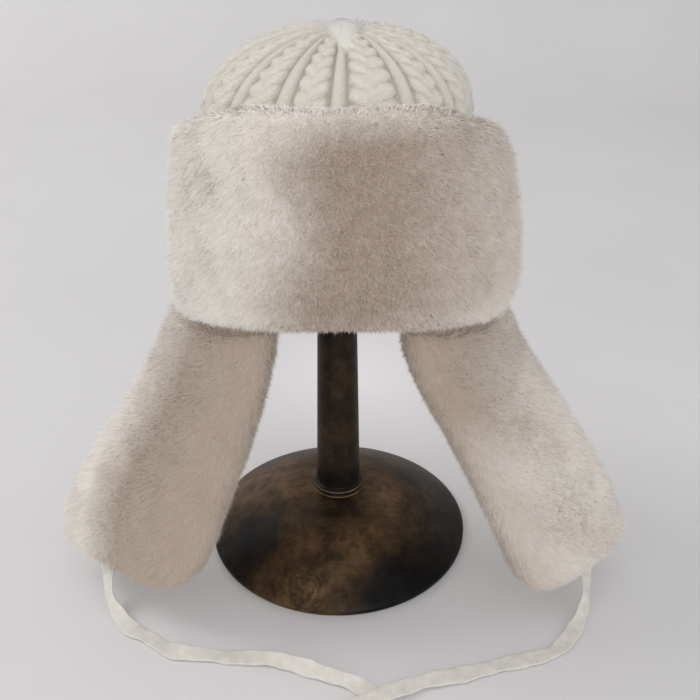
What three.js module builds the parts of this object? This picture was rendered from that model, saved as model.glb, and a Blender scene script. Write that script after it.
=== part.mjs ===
// Knit earflap hat on a turned wooden stand.
// Millimetres, +Z up. The origin is on the floor under the middle of the stand,
// -Y is the front of the hat and +X is the right side of the view from the front.
// Azimuths are in degrees from the front, positive towards +X.

import * as THREE from 'three'
import { mergeVertices } from 'three/addons/utils/BufferGeometryUtils.js'

// Driving dimensions of the hat
const HEAD_HALF_WIDTH = 84
const HEAD_HALF_DEPTH = 90
const KNIT_WALL = 4.6
const SHOULDER_HEIGHT = 354
const DOME_SQUARENESS = 0.85
const DOME_LEAN = 5
const CROWN_TOP = 413
const RIM_HEIGHT = 222
const RIM_SLOPE = 0.1
const GAP = 0.35
const FLAP_SEAM = 1.1

// Driving dimensions of the stand
const BASE_RADIUS = 108
const BASE_EDGE = 6
const BASE_TOP = 44
const POST_FOOT_RADIUS = 18
const POST_TOP_RADIUS = 12
const POST_TOP = 371
const STAND_TOP_CLEARANCE = 4
const STAND_TOP_EDGE = 4
const STAND_SIDES = 40

// The knit: cables with one smooth rib between each two of them. The first rib is in the middle
// of the front, and the cable to its right is wider than the others.
const CABLES = 15
const FIRST_RIB = 0.81
const WIDE_CABLE = 31
const BRAID_RISE = 0.7
const GATHER_RADIUS = 34

// The gathered top's soft fold, which lies from the apex down over the front
const FOLD_START = new THREE.Vector2(5, -2)
const FOLD_END = new THREE.Vector2(8, -42)
const FOLD_RISE = 7.2
const FOLD_HALF_WIDTH = 13.5

// One repeat of the knit from left to right: share of the repeat, and rise over the wall in mm
const KNIT_REPEAT = [
  { across: 0.0, rise: 0.2, braid: 0 },
  { across: 0.11, rise: 2.6, braid: 1 },
  { across: 0.3, rise: 3.4, braid: 0 },
  { across: 0.5, rise: 2.6, braid: -1 },
  { across: 0.62, rise: 0.2, braid: 0 },
  { across: 0.72, rise: 2.2, braid: 0 },
  { across: 0.9, rise: 2.2, braid: 0 },
]

// The front cuff from its middle to its ends: its lower and upper edge above the rim's slope,
// its thickness on each side, and the share of it that is lost towards the upper edge
const FRONT_CUFF = [
  { azimuth: 0, low: 18, high: 162, thick_left: 38, thick_right: 38, thinning: 0.24 },
  { azimuth: 30, low: 13, high: 161, thick_left: 37, thick_right: 40, thinning: 0.27 },
  { azimuth: 60, low: 2.4, high: 147, thick_left: 31, thick_right: 42, thinning: 0.36 },
  { azimuth: 85, low: 0.2, high: 133, thick_left: 26, thick_right: 42, thinning: 0.42 },
  { azimuth: 112, low: 0.2, high: 128, thick_left: 25, thick_right: 36, thinning: 0.36 },
]
const CUFF_END = 112
const CUFF_ROUNDING = 10

// The back band from its middle, which is at the back, to its ends
const BACK_BAND = [
  { azimuth: 0, low: 0.2, high: 110, thick_left: 29, thick_right: 29, thinning: 0.24 },
  { azimuth: 40, low: 0.2, high: 112, thick_left: 29, thick_right: 29, thinning: 0.26 },
  { azimuth: 67, low: 0.2, high: 117, thick_left: 26, thick_right: 31, thinning: 0.34 },
]
const BAND_END = 67
const BAND_ROUNDING = 8
const EDGE_ROUNDING = 0.66
const FACE_BULGE = 2.5

// Each flap from its top to its tip: height, middle, the way its outer face looks, and its section
const FLAP_LEFT = [
  { z: 230, x: -86, y: -47, azimuth: 57, width: 130, thick: 44, wrap: 64 },
  { z: 195, x: -95, y: -51, azimuth: 55, width: 132, thick: 47, wrap: 50 },
  { z: 150, x: -113, y: -58, azimuth: 49, width: 138, thick: 50, wrap: 34 },
  { z: 100, x: -138, y: -67, azimuth: 42, width: 146, thick: 50, wrap: 20 },
  { z: 62, x: -155, y: -73, azimuth: 38, width: 150, thick: 50, wrap: 12 },
  { z: 30, x: -171, y: -77, azimuth: 36, width: 142, thick: 46, wrap: 8 },
]
const FLAP_RIGHT = [
  { z: 230, x: 89, y: -46, azimuth: 57, width: 130, thick: 44, wrap: 64 },
  { z: 195, x: 102, y: -50, azimuth: 56, width: 126, thick: 47, wrap: 50 },
  { z: 150, x: 128, y: -58, azimuth: 50, width: 124, thick: 50, wrap: 34 },
  { z: 100, x: 155, y: -67, azimuth: 44, width: 124, thick: 50, wrap: 20 },
  { z: 60, x: 174, y: -74, azimuth: 41, width: 124, thick: 50, wrap: 12 },
  { z: 28, x: 186, y: -79, azimuth: 38, width: 126, thick: 46, wrap: 8 },
]
const FLAP_TIP_LENGTH = 42
const TIP_SQUARENESS = 3.2
const FLAP_NECK = 12
const SECTION_POWER = 0.72
const FLAP_POINTS = 20

// The fur lies in locks like shingles, each lifted at its free end
const LOCK_LENGTH = 27
const LOCK_RISE = 3.4

// The ties are flat cloth tape; each route starts under its flap and ends on the floor.
// turn is the tape's angle: 0 lies flat and 90 stands on its edge.
const TIE_WIDTH = 12
const TIE_THICKNESS = 2.2
const TIE_SIDES = 8
const TIE_STEPS = 44
const TIE_LEFT = [
  { x: -179, y: -78.5, z: 28.8, turn: 0 },
  { x: -179, y: -82, z: 26, turn: 20 },
  { x: -178.3, y: -87.5, z: 22.4, turn: 40 },
  { x: -177.4, y: -93.5, z: 17.6, turn: 54 },
  { x: -175.8, y: -98.8, z: 12.8, turn: 56 },
  { x: -172, y: -104.6, z: 8.8, turn: 48 },
  { x: -166, y: -111.8, z: 5.2, turn: 34 },
  { x: -160.6, y: -118, z: 3.6, turn: 18 },
  { x: -152, y: -124, z: 2.6, turn: 8 },
  { x: -141, y: -130, z: 2.0, turn: 4 },
  { x: -131, y: -137, z: 2.0, turn: 4 },
  { x: -121, y: -143, z: 2.6, turn: 10 },
  { x: -110, y: -146, z: 4.0, turn: 26 },
  { x: -98, y: -146.5, z: 2.8, turn: 12 },
  { x: -85, y: -148, z: 1.9, turn: 5 },
  { x: -70, y: -149, z: 1.9, turn: 5 },
  { x: -58, y: -150, z: 3.2, turn: 16 },
  { x: -46, y: -153, z: 5.2, turn: 40 },
  { x: -33, y: -157, z: 5.6, turn: 46 },
  { x: -19, y: -162, z: 5.6, turn: 46 },
  { x: -4, y: -168, z: 5.6, turn: 46 },
  { x: 8, y: -172, z: 5.2, turn: 42 },
  { x: 20, y: -177, z: 2.9, turn: 16 },
  { x: 32, y: -183, z: 1.6, turn: 0 },
]
const TIE_RIGHT = [
  { x: 194, y: -77.5, z: 26.8, turn: 0 },
  { x: 193.6, y: -82, z: 24.2, turn: -24 },
  { x: 193, y: -87.5, z: 21.4, turn: -44 },
  { x: 192.3, y: -92.5, z: 18.4, turn: -56 },
  { x: 192, y: -97.5, z: 14.6, turn: -58 },
  { x: 191, y: -102.6, z: 10.6, turn: -52 },
  { x: 188, y: -108.8, z: 7.6, turn: -40 },
  { x: 182.3, y: -118.8, z: 4.4, turn: -24 },
  { x: 174, y: -130, z: 3.0, turn: -12 },
  { x: 164, y: -140, z: 2.1, turn: -6 },
  { x: 153, y: -146.5, z: 2.1, turn: -6 },
  { x: 140, y: -150.5, z: 2.1, turn: -6 },
  { x: 125, y: -154, z: 2.1, turn: -7 },
  { x: 110, y: -158.5, z: 2.3, turn: -8 },
  { x: 96, y: -163, z: 2.5, turn: -9 },
  { x: 81, y: -167, z: 3.1, turn: -12 },
  { x: 66, y: -171, z: 4.4, turn: -22 },
  { x: 54, y: -175, z: 4.6, turn: -14 },
  { x: 43, y: -179.5, z: 5.2, turn: -8 },
  { x: 32, y: -184, z: 5.4, turn: -6 },
  { x: 21, y: -188.5, z: 4.6, turn: -8 },
  { x: 10, y: -193, z: 3.0, turn: -10 },
  { x: -2, y: -198, z: 2.4, turn: -10 },
]

const radians = THREE.MathUtils.degToRad

// A sine or cosine with its curve made squarer by a power under 1
function squarer(value, power) {
  return Math.sign(value) * Math.abs(value) ** power
}

// The value of one column of a table at a place between its rows, on a smooth curve
function column(table, place, name, at) {
  const places = table.map((row) => row[place])
  const values = table.map((row) => row[name])
  const rising = places[0] < places[places.length - 1]
  if (!rising) {
    places.reverse()
    values.reverse()
  }
  const curve = new THREE.CubicInterpolant(places, values, 1)
  return curve.evaluate(THREE.MathUtils.clamp(at, places[0], places[places.length - 1]))[0]
}

// A closed solid through rings with equal counts of points. Its start is closed by a fan, or by
// strips between mirrored points where the ring is long and bent, and its end by a fan.
function closedLoft(rings, stripStart = false) {
  const count = rings[0].length
  const vertices = []
  for (const ring of rings) {
    for (const point of ring) {
      vertices.push(point.x, point.y, point.z)
    }
  }
  const faces = []
  for (let row = 0; row + 1 < rings.length; row++) {
    for (let i = 0; i < count; i++) {
      const j = (i + 1) % count
      const low = row * count
      const high = low + count
      faces.push(low + i, low + j, high + j)
      faces.push(low + i, high + j, high + i)
    }
  }
  const ends = [{ start: (rings.length - 1) * count, flip: false }]
  if (stripStart) {
    for (let i = 0; i < count / 2; i++) {
      const [near, far] = [i + 1, count - 1 - i]
      if (near < far) {
        faces.push(i, far, near)
      }
      if (i > 0) {
        faces.push(i, count - i, far)
      }
    }
  } else {
    ends.push({ start: 0, flip: true })
  }
  for (const end of ends) {
    const middle = new THREE.Vector3()
    for (const point of rings[end.start / count]) {
      middle.addScaledVector(point, 1 / count)
    }
    const hub = vertices.length / 3
    vertices.push(middle.x, middle.y, middle.z)
    for (let i = 0; i < count; i++) {
      const j = (i + 1) % count
      const pair = end.flip ? [end.start + j, end.start + i] : [end.start + i, end.start + j]
      faces.push(hub, pair[0], pair[1])
    }
  }
  const geometry = new THREE.BufferGeometry()
  geometry.setAttribute('position', new THREE.Float32BufferAttribute(vertices, 3))
  geometry.setIndex(signedVolume(vertices, faces) < 0 ? faces.reverse() : faces)
  return geometry
}

function signedVolume(vertices, faces) {
  const corner = (index) => new THREE.Vector3().fromArray(vertices, 3 * index)
  let sum = 0
  for (let i = 0; i < faces.length; i += 3) {
    sum += corner(faces[i]).dot(corner(faces[i + 1]).cross(corner(faces[i + 2])))
  }
  return sum / 6
}

// A turned solid from a profile of radii and heights that starts and ends on the axis
function turned(profile) {
  const points = profile.map((row) => new THREE.Vector2(row.radius, row.z))
  const lathe = new THREE.LatheGeometry(points, STAND_SIDES)
  lathe.deleteAttribute('normal')
  lathe.deleteAttribute('uv')
  lathe.rotateX(Math.PI / 2)
  const merged = mergeVertices(lathe, 1e-4)
  const corners = merged.index.array
  const kept = []
  for (let i = 0; i < corners.length; i += 3) {
    const [a, b, c] = [corners[i], corners[i + 1], corners[i + 2]]
    if (a !== b && b !== c && c !== a) {
      kept.push(a, b, c)
    }
  }
  merged.setIndex(kept)
  return merged
}

// The rim's slope, and the rim itself, which rises over the brow with the front cuff
function slopeHeight(y) {
  return RIM_HEIGHT - RIM_SLOPE * y
}

function rimHeight(x, y) {
  const across = x / HEAD_HALF_WIDTH
  const away = Math.abs(THREE.MathUtils.radToDeg(Math.atan2(across, -y / HEAD_HALF_DEPTH)))
  return slopeHeight(y) + column(FRONT_CUFF, 'azimuth', 'low', away)
}

// A level oval round the head: outwards is the distance outside the head's own oval
function ovalPoint(azimuth, outwards, z) {
  const angle = radians(azimuth)
  const x = (HEAD_HALF_WIDTH + outwards) * Math.sin(angle)
  const y = -(HEAD_HALF_DEPTH + outwards) * Math.cos(angle)
  return new THREE.Vector3(x, y, z)
}

// The azimuth of a place that is counted in repeats of the knit from the middle rib
function repeatAzimuth(place) {
  const pitch = (360 - WIDE_CABLE) / (CABLES - 1)
  return pitch * place + (WIDE_CABLE - pitch) * THREE.MathUtils.clamp(place, 0, 1)
}

// Crown: the inside ends on the rim, and the outside carries the knit's relief
function knitRise(share, row, radius) {
  const repeat = KNIT_REPEAT[share]
  const alternate = row % 2 === 0 ? 1 : -1
  const fade = Math.min(1, radius / GATHER_RADIUS)
  return (repeat.rise + repeat.braid * alternate * BRAID_RISE) * fade
}

function foldRise(x, y) {
  const line = FOLD_END.clone().sub(FOLD_START)
  const offset = new THREE.Vector2(x, y).sub(FOLD_START)
  const share = THREE.MathUtils.clamp(offset.dot(line) / line.lengthSq(), 0, 1)
  const away = offset.addScaledVector(line, -share).length()
  const half = FOLD_HALF_WIDTH * (1 - 0.55 * share)
  return FOLD_RISE * Math.max(0, 1 - (away / half) ** 2) ** 0.6 * (1 - 0.4 * share)
}

function crownRing(outwards, top, climb, row, relief) {
  const ring = []
  const dome = Math.max(0, climb - 1)
  const lift = radians(90 * dome)
  for (let cable = 0; cable < CABLES; cable++) {
    KNIT_REPEAT.forEach((repeat, share) => {
      const azimuth = repeatAzimuth(cable + repeat.across - FIRST_RIB)
      const narrow = Math.cos(lift) ** DOME_SQUARENESS
      const radius = (HEAD_HALF_WIDTH + outwards) * narrow
      const climbed = Math.sin(lift) ** DOME_SQUARENESS
      const plain = ovalPoint(azimuth, outwards, 0).multiplyScalar(narrow)
      const fold = climb > 1 ? foldRise(plain.x + DOME_LEAN * climbed, plain.y) : 0
      const rise = relief ? Math.max(knitRise(share, row, radius), fold) : 0
      const flat = ovalPoint(azimuth, outwards + rise, 0)
      const x = flat.x * narrow + DOME_LEAN * climbed
      const y = flat.y * narrow
      const rim = rimHeight(flat.x, flat.y)
      const domeHeight = (top + rise - SHOULDER_HEIGHT) * climbed
      const z = climb <= 1 ? rim + (SHOULDER_HEIGHT - rim) * climb : SHOULDER_HEIGHT + domeHeight
      ring.push(new THREE.Vector3(x, y, z))
    })
  }
  return ring
}

function crown() {
  const inside = [1.97, 1.82, 1.6, 1.34, 1, 0]
  const outside = [0, 0.45, 0.8, 1, 1.1, 1.2, 1.3, 1.4, 1.5, 1.6, 1.69, 1.78, 1.86, 1.93, 1.98]
  const rings = []
  inside.forEach((climb, row) => {
    rings.push(crownRing(0, CROWN_TOP - KNIT_WALL, climb, row, false))
  })
  outside.forEach((climb, row) => {
    rings.push(crownRing(KNIT_WALL, CROWN_TOP, climb, row, true))
  })
  return closedLoft(rings)
}

// The outer outline of a pillow: along its top, round, down its face, round, and back below.
// share runs from 0 to 1 along it, and the answer is the reach outwards and the drop.
function pillowPoint(share, thick, tall, thinning) {
  const corner = Math.min(thick * EDGE_ROUNDING, tall * 0.45)
  const level = thick - corner
  const round = (Math.PI / 2) * corner
  const face = tall - 2 * corner
  const length = 2 * level + 2 * round + face
  const half = share > 0.5
  const along = (half ? 1 - share : share) * length
  let reach = along
  let drop = 0
  if (along > level + round) {
    const bulge = Math.sin((Math.PI * (along - level - round)) / face)
    reach = thick + FACE_BULGE * bulge
    drop = corner + along - level - round
  } else if (along > level) {
    const angle = (along - level) / corner
    reach = level + corner * Math.sin(angle)
    drop = corner * (1 - Math.cos(angle))
  }
  const down = half ? tall - drop : drop
  return { reach: reach * (1 - thinning * (1 - down / tall)), drop: down }
}

// Fur bands: sections side by side round the head, flat inside and pillowed outside.
// Every lock row has a root and a lifted free end, and every second column lies back.
function furSection(azimuth, low, high, thick, thinning, station, lockRows, facing) {
  const reliefMost = Math.max(...KNIT_REPEAT.map((row) => row.rise)) + BRAID_RISE
  const inner = KNIT_WALL + reliefMost + GAP
  const tall = high - low
  const places = [{ reach: 0, drop: tall * 0.1, rise: 0 }]
  for (let lock = 0; lock < lockRows; lock++) {
    for (const end of [0.04, 0.9]) {
      const share = (lock + end) / lockRows
      const lies = (lock + station) % 2 === 0
      const rise = end > 0.5 && lies ? LOCK_RISE * Math.sin(Math.PI * share) : 0
      places.push({ ...pillowPoint(share, thick - LOCK_RISE / 2, tall, thinning), rise })
    }
  }
  places.push({ reach: 0, drop: tall * 0.9, rise: 0 })
  return places.map((spot) => {
    const point = ovalPoint(azimuth, inner + spot.reach + spot.rise, 0)
    const x = point.x * facing
    const y = point.y * facing
    return new THREE.Vector3(x, y, slopeHeight(y) + high - spot.drop)
  })
}

function furBand(table, end, rounding, stations, facing) {
  const outerFace = table[0].high - table[0].low + 1.4 * table[0].thick_left
  const lockRows = Math.round(outerFace / LOCK_LENGTH)
  const rings = []
  const half = (stations - 1) / 2
  for (let station = 0; station < stations; station++) {
    const side = (station - half) / half
    const azimuth = end * side
    const away = Math.abs(azimuth)
    const past = Math.max(0, away - (end - rounding)) / rounding
    const round = Math.max(0.25, Math.sqrt(Math.max(0, 1 - past * past)))
    const right = facing * side > 0
    const thickName = right ? 'thick_right' : 'thick_left'
    const low = column(table, 'azimuth', 'low', away)
    const high = column(table, 'azimuth', 'high', away)
    const middle = (low + high) / 2
    const halfHigh = ((high - low) / 2) * (0.6 + 0.4 * round)
    const thick = column(table, 'azimuth', thickName, away) * round
    const edges = [middle - halfHigh, middle + halfHigh]
    const thinning = column(table, 'azimuth', 'thinning', away)
    const section = [edges[0], edges[1], thick, thinning, station, lockRows, facing]
    rings.push(furSection(azimuth, ...section))
  }
  return closedLoft(rings)
}

// Flap: level sections from the rim down to a round tip, wrapped round the head at the top
function flapRing(table, side, z, ringIndex, isTop) {
  const at = (name) => column(table, 'z', name, z)
  const facing = radians(at('azimuth'))
  const out = new THREE.Vector2(side * Math.sin(facing), -Math.cos(facing))
  const along = new THREE.Vector2(side * Math.cos(facing), Math.sin(facing))
  const lowest = table[table.length - 1].z
  const tip = THREE.MathUtils.clamp((z - lowest) / FLAP_TIP_LENGTH, 0, 1)
  const roundness = (1 - (1 - tip) ** TIP_SQUARENESS) ** (1 / TIP_SQUARENESS)
  const halfWidth = (at('width') / 2) * (0.42 + 0.58 * roundness)
  const halfThick = (at('thick') / 2) * (0.3 + 0.7 * roundness)
  const bendRadius = at('width') / radians(at('wrap'))
  const ring = []
  for (let i = 0; i < FLAP_POINTS; i++) {
    const angle = (2 * Math.PI * i) / FLAP_POINTS
    const lies = (i + Math.floor(ringIndex / 2)) % 2 === 0
    const rise = ringIndex % 2 === 1 && lies ? LOCK_RISE : 0
    const grow = 1 + rise / halfThick / 2
    const u = halfWidth * squarer(Math.cos(angle), SECTION_POWER)
    const v = (halfThick - LOCK_RISE / 2) * grow * squarer(Math.sin(angle), SECTION_POWER)
    const bend = u / bendRadius
    const forth = (bendRadius + v) * Math.sin(bend)
    const outwards = (bendRadius + v) * Math.cos(bend) - bendRadius
    const x = at('x') + along.x * forth + out.x * outwards
    const y = at('y') + along.y * forth + out.y * outwards
    ring.push(new THREE.Vector3(x, y, isTop ? rimHeight(x, y) - FLAP_SEAM : z))
  }
  return ring
}

function flap(table, side) {
  const lowest = table[table.length - 1].z
  const neck = table[0].z - FLAP_NECK
  const straight = neck - (lowest + FLAP_TIP_LENGTH * 0.5)
  const lockRows = Math.round(straight / LOCK_LENGTH)
  const rings = [flapRing(table, side, table[0].z, 0, true)]
  let ringIndex = 1
  for (let lock = 0; lock < lockRows; lock++) {
    for (const end of [0.1, 0.92]) {
      const down = (lock + end) / lockRows
      rings.push(flapRing(table, side, neck - straight * down, ringIndex + 1, false))
      ringIndex += 1
    }
  }
  for (const share of [0.3, 0.14, 0.04, 0]) {
    rings.push(flapRing(table, side, lowest + FLAP_TIP_LENGTH * share, 0, false))
  }
  return closedLoft(rings, true)
}

// Tie: a flat tape swept along its route, kept level across except where it turns on its edge
function tie(table) {
  const route = new THREE.CatmullRomCurve3(table.map((row) => new THREE.Vector3(row.x, row.y, row.z)))
  const rings = []
  const across = new THREE.Vector3()
  for (let step = TIE_STEPS; step >= 0; step--) {
    const share = step / TIE_STEPS
    const middle = route.getPoint(share)
    const ahead = route.getTangent(share)
    const row = share * (table.length - 1)
    const before = Math.min(table.length - 2, Math.floor(row))
    const turn = THREE.MathUtils.lerp(table[before].turn, table[before + 1].turn, row - before)
    const level = new THREE.Vector3(0, 0, 1).cross(ahead)
    if (level.length() > 0.5) {
      across.copy(level)
    }
    const wide = across.clone().addScaledVector(ahead, -across.dot(ahead)).normalize()
    wide.applyAxisAngle(ahead, radians(turn))
    const deep = ahead.clone().cross(wide)
    const ring = []
    for (let i = 0; i < TIE_SIDES; i++) {
      const angle = (2 * Math.PI * (i + 0.5)) / TIE_SIDES
      const u = (TIE_WIDTH / 2) * squarer(Math.cos(angle), 0.3)
      const v = (TIE_THICKNESS / 2) * squarer(Math.sin(angle), 0.5)
      ring.push(middle.clone().addScaledVector(wide, u).addScaledVector(deep, v))
    }
    rings.push(ring)
  }
  return closedLoft(rings)
}

// Stand: domed foot, tapered post with two beads at its foot, and a plain dome in the crown
function standBase() {
  const profile = [
    { radius: 0, z: 0 },
    { radius: BASE_RADIUS - 1.5, z: 0 },
    { radius: BASE_RADIUS, z: 1.5 },
    { radius: BASE_RADIUS, z: BASE_EDGE },
  ]
  const steps = 7
  const seat = POST_FOOT_RADIUS + 6
  for (let i = 1; i <= steps; i++) {
    const share = i / steps
    const radius = BASE_RADIUS + (seat - BASE_RADIUS) * share
    profile.push({ radius, z: BASE_EDGE + (BASE_TOP - BASE_EDGE) * Math.sin((Math.PI / 2) * share) })
  }
  profile.push({ radius: 0, z: BASE_TOP })
  return turned(profile)
}

function standPost() {
  const foot = BASE_TOP + GAP
  const profile = [{ radius: 0, z: foot }]
  const beads = [
    { radius: POST_FOOT_RADIUS + 1.2, z: foot + 2, size: 2 },
    { radius: POST_FOOT_RADIUS + 0.6, z: foot + 6, size: 2 },
  ]
  for (const bead of beads) {
    for (const angle of [-80, -30, 30, 80]) {
      profile.push({
        radius: bead.radius + bead.size * Math.cos(radians(angle)),
        z: bead.z + bead.size * Math.sin(radians(angle)),
      })
    }
  }
  profile.push({ radius: POST_FOOT_RADIUS, z: foot + 9.5 })
  profile.push({ radius: POST_TOP_RADIUS, z: POST_TOP })
  profile.push({ radius: 0, z: POST_TOP })
  return turned(profile)
}

function standTop() {
  const low = POST_TOP + GAP
  const top = CROWN_TOP - KNIT_WALL - GAP
  const edge = low + STAND_TOP_EDGE
  const lift = Math.asin((edge - SHOULDER_HEIGHT) / (top - SHOULDER_HEIGHT))
  const profile = [{ radius: 0, z: low }]
  const steps = 6
  for (let i = 0; i <= steps; i++) {
    const angle = lift + ((Math.PI / 2 - lift) * i) / steps
    const room = (HEAD_HALF_WIDTH - STAND_TOP_CLEARANCE) * Math.cos(angle)
    const radius = Math.max(0, room - DOME_LEAN * Math.sin(angle))
    if (i === 0) {
      profile.push({ radius: radius - STAND_TOP_EDGE, z: low })
    }
    profile.push({ radius, z: SHOULDER_HEIGHT + (top - SHOULDER_HEIGHT) * Math.sin(angle) })
  }
  return turned(profile)
}

// Materials
const knitWool = new THREE.MeshStandardMaterial({ color: 0xe6e2d5, roughness: 0.95, metalness: 0 })
const fur = new THREE.MeshStandardMaterial({ color: 0xc3b6a7, roughness: 1, metalness: 0 })
const tape = new THREE.MeshStandardMaterial({ color: 0xdcd9cb, roughness: 0.85, metalness: 0 })
const wood = new THREE.MeshStandardMaterial({ color: 0x3a2a1c, roughness: 0.35, metalness: 0 })

const hat = new THREE.Group()
const stand = new THREE.Group()

function place(group, name, geometry, material) {
  const mesh = new THREE.Mesh(geometry, material)
  mesh.name = name
  group.add(mesh)
}

place(hat, 'crown', crown(), knitWool)
place(hat, 'front_cuff', furBand(FRONT_CUFF, CUFF_END, CUFF_ROUNDING, 35, 1), fur)
place(hat, 'back_band', furBand(BACK_BAND, BAND_END, BAND_ROUNDING, 21, -1), fur)
place(hat, 'flap_left', flap(FLAP_LEFT, -1), fur)
place(hat, 'flap_right', flap(FLAP_RIGHT, 1), fur)
place(hat, 'tie_left', tie(TIE_LEFT), tape)
place(hat, 'tie_right', tie(TIE_RIGHT), tape)
place(stand, 'stand_base', standBase(), wood)
place(stand, 'stand_post', standPost(), wood)
place(stand, 'stand_top', standTop(), wood)

const object = new THREE.Group()
object.add(hat, stand)
export default object
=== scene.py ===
# Cable-knit trapper hat with plush cuff, earflaps and ties, on a dark turned wooden stand.
# Metres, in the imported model's frame: the floor is z = 0, the hat's front looks along -Y,
# and +X is the right side of the view. Azimuths are in degrees from the front, towards +X.

import math
from collections import namedtuple

import bpy
import numpy as np
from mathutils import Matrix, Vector
from mathutils.bvhtree import BVHTree
from mathutils.kdtree import KDTree


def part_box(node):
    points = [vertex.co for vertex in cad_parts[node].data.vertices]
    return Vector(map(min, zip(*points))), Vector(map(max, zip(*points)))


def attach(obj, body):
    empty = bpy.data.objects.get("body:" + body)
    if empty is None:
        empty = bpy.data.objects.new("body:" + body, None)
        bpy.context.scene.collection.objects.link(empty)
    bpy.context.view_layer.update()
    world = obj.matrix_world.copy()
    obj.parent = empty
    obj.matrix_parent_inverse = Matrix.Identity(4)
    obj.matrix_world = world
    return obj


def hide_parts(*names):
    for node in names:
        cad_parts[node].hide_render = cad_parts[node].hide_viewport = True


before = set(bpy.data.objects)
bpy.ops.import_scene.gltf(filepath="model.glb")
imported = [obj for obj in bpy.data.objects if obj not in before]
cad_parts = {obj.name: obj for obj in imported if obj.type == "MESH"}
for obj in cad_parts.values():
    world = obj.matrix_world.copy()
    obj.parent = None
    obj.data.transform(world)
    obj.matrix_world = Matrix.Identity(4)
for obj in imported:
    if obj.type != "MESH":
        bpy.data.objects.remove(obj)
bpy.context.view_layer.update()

# Camera
CAMERA_PLACE = (0.0098, -0.600, 0.516)
CAMERA_TILT = 60.4
CAMERA_LENS = 45.57

# Light: each lamp looks at LIT_PLACE
WORLD_COLOUR = (0.985, 0.985, 1.0)
WORLD_STRENGTH = 0.63
LAMP_SIZE = 1.6
LIT_PLACE = (0, 0, 0.2)

# Crown
HEAD_HALF_WIDTH = 0.084
HEAD_HALF_DEPTH = 0.090
KNIT_WALL = 0.0046
SHOULDER_HEIGHT = 0.354
CROWN_TOP = 0.413
DOME_SQUARENESS = 0.85
DOME_LEAN = 0.005
RIM_HEIGHT = 0.222
RIM_SLOPE = 0.1
CUFF_LOW_AZIMUTHS = (0, 30, 60, 85)
CUFF_LOWS = (0.018, 0.013, 0.0024, 0.0002)

# Knit: cables with a plain rib between each two, the first cable wider than the others. Each cable
# is a plait of strands.
CABLES = 15
WIDE_CABLE = 31
REPEAT_ANGLE = (360 - WIDE_CABLE) / (CABLES - 1)
COLUMNS_PER_CABLE = 36
RIB_HALF_SHARE = 0.135
GROOVE_SHARE = 0.045
RIB_RISE = 0.0028
STRAND_RISE = 0.0022
STRAND_CROSSING = 0.0010
PLAIT_STRANDS = 3
PLAIT_LENGTH = 0.034
PLAIT_SWING = 0.5
PLAIT_SHIFT = 2.1
STRAND_HALF_SHARE = 0.56
STITCH_LENGTH = 0.0033
STITCH_SLANT = 0.35
STITCH_SPACING = 3
GATHER_RADIUS = 0.030
# The knit's painted shading: the rises at which the knit and the fold are painted palest, and the inner
# wall's tone
KNIT_FULL_DEPTH = 0.0045
FOLD_FULL_DEPTH = 0.004
INNER_PALENESS = 0.45

# Rows of the crown's mesh, as climbs: 0 is the rim, 1 the shoulder and 2 the top of the dome
INNER_CLIMBS = (1.97, 1.82, 1.6, 1.34, 1.0, 0.5, 0.0)
WALL_CLIMBS = np.linspace(0, 0.92, 16)
DOME_CLIMBS = 1 + 0.985 * np.linspace(-0.06, 1, 122)

# The gathered top's smooth fold, which lies from the apex down over the front
FOLD_START = (0.005, -0.002)
FOLD_END = (0.008, -0.042)
FOLD_RISE = 0.0072
FOLD_HALF_WIDTH = 0.0135

# Ties: the middle of each tape from under its flap to its end, and the tape's angle
TIE_WIDTH = 0.012
TIE_THICKNESS = 0.0022
TIE_STEPS = 260
TIE_SIDES = 20
THREAD_PITCH = 0.0011
TIE_LEFT = [
    (-0.179, -0.0785, 0.0288, 0),
    (-0.179, -0.082, 0.026, 20),
    (-0.1783, -0.0875, 0.0224, 40),
    (-0.1774, -0.0935, 0.0176, 54),
    (-0.1758, -0.0988, 0.0128, 56),
    (-0.172, -0.1046, 0.0088, 48),
    (-0.166, -0.1118, 0.0052, 34),
    (-0.1606, -0.118, 0.0036, 18),
    (-0.152, -0.124, 0.0026, 8),
    (-0.141, -0.13, 0.002, 4),
    (-0.131, -0.137, 0.002, 4),
    (-0.121, -0.143, 0.0026, 10),
    (-0.11, -0.146, 0.004, 26),
    (-0.098, -0.1465, 0.0028, 12),
    (-0.085, -0.148, 0.0019, 5),
    (-0.07, -0.149, 0.0019, 5),
    (-0.058, -0.15, 0.0032, 16),
    (-0.046, -0.153, 0.0052, 40),
    (-0.033, -0.157, 0.0056, 46),
    (-0.019, -0.162, 0.0056, 46),
    (-0.004, -0.168, 0.0056, 46),
    (0.008, -0.172, 0.0052, 42),
    (0.02, -0.177, 0.0029, 16),
    (0.032, -0.183, 0.0016, 0),
]
TIE_RIGHT = [
    (0.194, -0.0775, 0.0268, 0),
    (0.1936, -0.082, 0.0242, -24),
    (0.193, -0.0875, 0.0214, -44),
    (0.1923, -0.0925, 0.0184, -56),
    (0.192, -0.0975, 0.0146, -58),
    (0.191, -0.1026, 0.0106, -52),
    (0.188, -0.1088, 0.0076, -40),
    (0.1823, -0.1188, 0.0044, -24),
    (0.174, -0.13, 0.003, -12),
    (0.164, -0.14, 0.0021, -6),
    (0.153, -0.1465, 0.0021, -6),
    (0.14, -0.1505, 0.0021, -6),
    (0.125, -0.154, 0.0021, -7),
    (0.11, -0.1585, 0.0023, -8),
    (0.096, -0.163, 0.0025, -9),
    (0.081, -0.167, 0.0031, -12),
    (0.066, -0.171, 0.0044, -22),
    (0.054, -0.175, 0.0046, -14),
    (0.043, -0.1795, 0.0052, -8),
    (0.032, -0.184, 0.0054, -6),
    (0.021, -0.1885, 0.0046, -8),
    (0.01, -0.193, 0.003, -10),
    (-0.002, -0.198, 0.0024, -10),
]

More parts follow.
